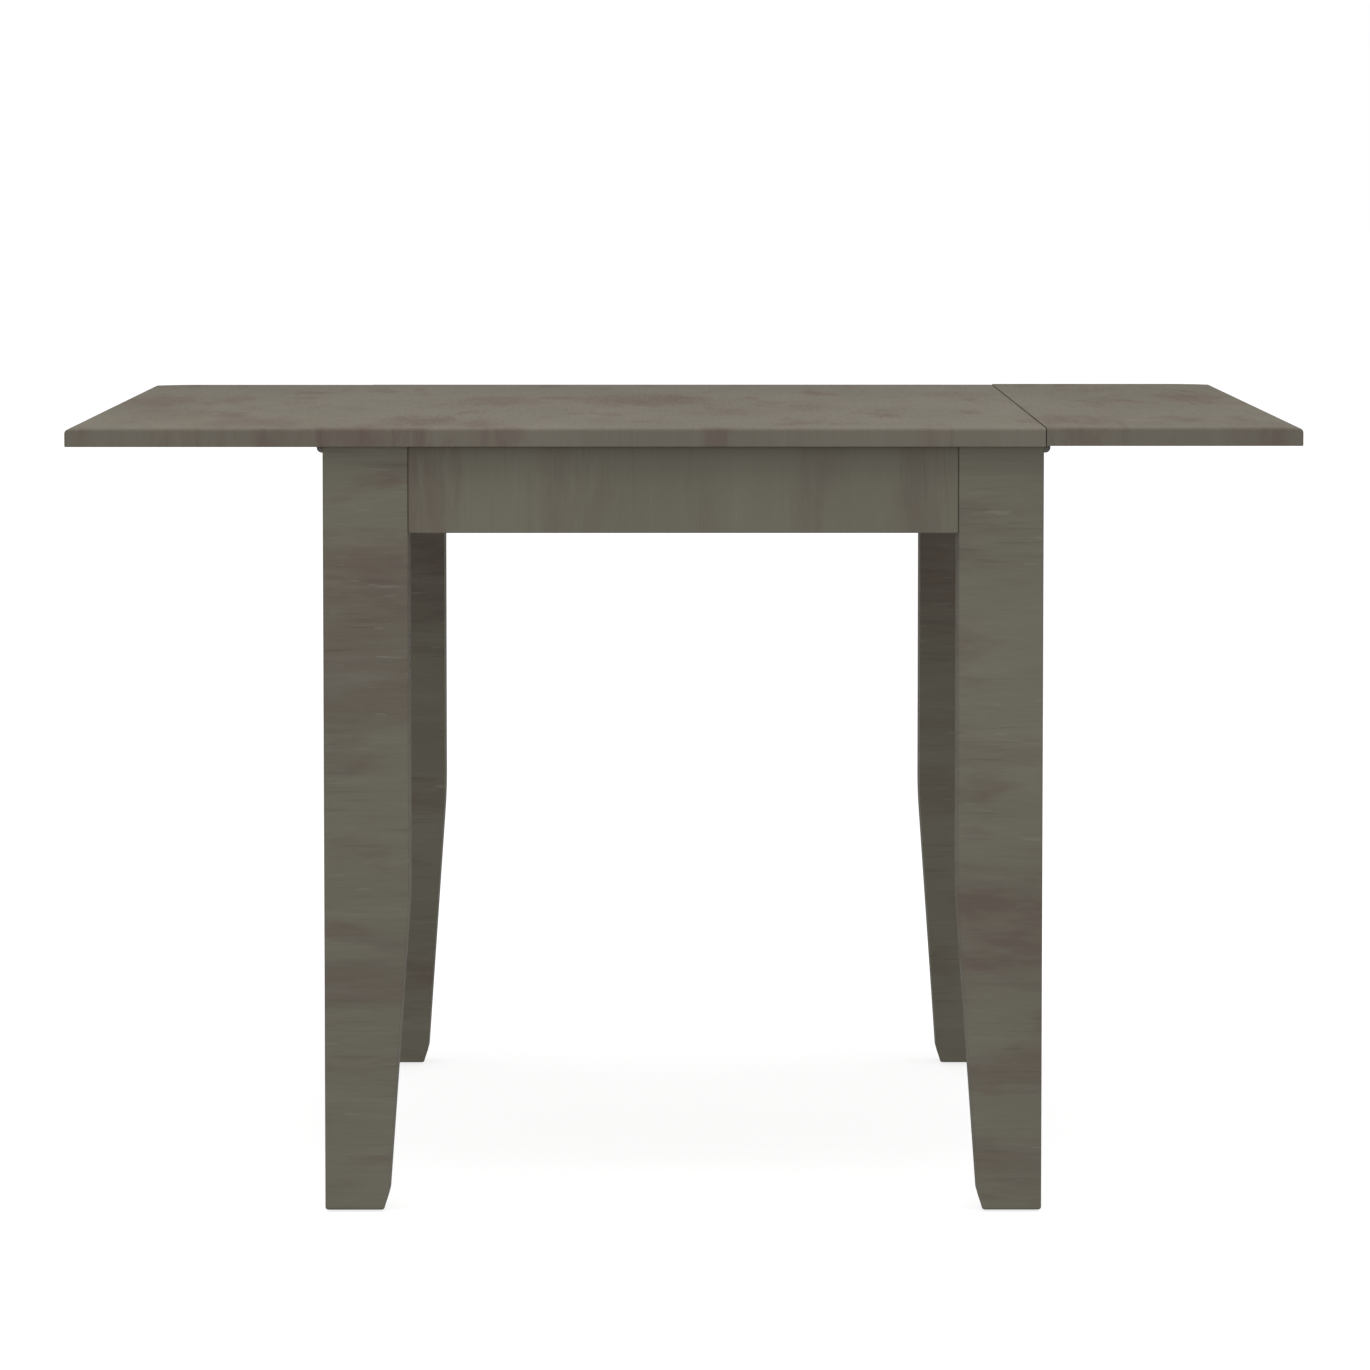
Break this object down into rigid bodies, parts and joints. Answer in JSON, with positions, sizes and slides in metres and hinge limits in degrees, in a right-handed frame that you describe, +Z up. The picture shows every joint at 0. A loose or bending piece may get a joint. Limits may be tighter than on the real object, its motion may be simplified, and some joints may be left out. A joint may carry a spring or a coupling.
{
  "type": "drop-leaf dining table",
  "caption": "Rectangular dining table with four tapered legs, two hinged drop leaves and pull-out slides that hold the raised leaves.",
  "frame": {"origin": "on the floor, under the middle of the open table", "axes": "+X to the right leaf, +Y to the rear along the seams, +Z up"},
  "size_m": [1.1986, 1.2, 0.7678],
  "materials": {
    "top_wood": "weathered grey-brown stain, satin",
    "frame_wood": "weathered grey-brown stain, satin",
    "inner_wood": "plain sanded hardwood, unstained",
    "hinge_steel": "dark oxidised steel",
    "fixing_steel": "zinc-plated steel",
    "glide_plastic": "moulded nylon"
  },
  "bodies": {
    "frame": {"centre_board": "top_wood", "leg_front_left": "frame_wood", "leg_front_right": "frame_wood", "leg_rear_left": "frame_wood", "leg_rear_right": "frame_wood", "apron_front": "frame_wood", "apron_rear": "frame_wood", "apron_left": "frame_wood", "apron_right": "frame_wood", "centre_bearer": "inner_wood", "corner_brace_front_left": "fixing_steel", "corner_brace_front_right": "fixing_steel", "corner_brace_rear_left": "fixing_steel", "corner_brace_rear_right": "fixing_steel", "hanger_bolts": "fixing_steel", "hanger_washers": "fixing_steel", "hanger_nuts": "fixing_steel", "brace_screws": "fixing_steel", "top_brackets": "fixing_steel", "bracket_screws": "fixing_steel", "bearer_screws": "fixing_steel", "foot_glides": "glide_plastic", "slide_guide_left_front": "inner_wood", "slide_guide_left_rear": "inner_wood", "slide_guide_right_front": "inner_wood", "slide_guide_right_rear": "inner_wood", "guide_screws": "fixing_steel", "slide_stops": "inner_wood", "stop_screws": "fixing_steel", "hinge_left_front_board_plate": "hinge_steel", "hinge_left_middle_board_plate": "hinge_steel", "hinge_left_rear_board_plate": "hinge_steel", "hinge_right_front_board_plate": "hinge_steel", "hinge_right_middle_board_plate": "hinge_steel", "hinge_right_rear_board_plate": "hinge_steel", "hinge_pins_left": "hinge_steel", "hinge_pins_right": "hinge_steel", "hinge_board_screws_left": "hinge_steel", "hinge_board_screws_right": "hinge_steel"},
    "left_leaf": {"leaf_left": "top_wood", "hinge_left_front_leaf_plate": "hinge_steel", "hinge_left_middle_leaf_plate": "hinge_steel", "hinge_left_rear_leaf_plate": "hinge_steel", "hinge_leaf_screws_left": "hinge_steel"},
    "right_leaf": {"leaf_right": "top_wood", "hinge_right_front_leaf_plate": "hinge_steel", "hinge_right_middle_leaf_plate": "hinge_steel", "hinge_right_rear_leaf_plate": "hinge_steel", "hinge_leaf_screws_right": "hinge_steel"},
    "left_front_slide": {"slide_left_front": "inner_wood", "stop_peg_left_front": "inner_wood"},
    "left_rear_slide": {"slide_left_rear": "inner_wood", "stop_peg_left_rear": "inner_wood"},
    "right_front_slide": {"slide_right_front": "inner_wood", "stop_peg_right_front": "inner_wood"},
    "right_rear_slide": {"slide_right_rear": "inner_wood", "stop_peg_right_rear": "inner_wood"}
  },
  "joints": [
    {"name": "left_leaf_hinge", "type": "hinge", "parent": "frame", "child": "left_leaf", "pos_m": [-0.3505, 0, 0.7475], "axis": [0, -1, 0], "range_deg": [0, 90]},
    {"name": "right_leaf_hinge", "type": "hinge", "parent": "frame", "child": "right_leaf", "pos_m": [0.3511, 0, 0.7475], "axis": [0, 1, 0], "range_deg": [0, 90]},
    {"name": "left_front_slide_travel", "type": "slide", "parent": "frame", "child": "left_front_slide", "axis": [1, 0, 0], "range_m": [-0.205, 0]},
    {"name": "left_rear_slide_travel", "type": "slide", "parent": "frame", "child": "left_rear_slide", "axis": [1, 0, 0], "range_m": [-0.205, 0]},
    {"name": "right_front_slide_travel", "type": "slide", "parent": "frame", "child": "right_front_slide", "axis": [-1, 0, 0], "range_m": [-0.205, 0]},
    {"name": "right_rear_slide_travel", "type": "slide", "parent": "frame", "child": "right_rear_slide", "axis": [-1, 0, 0], "range_m": [-0.205, 0]}
  ]
}
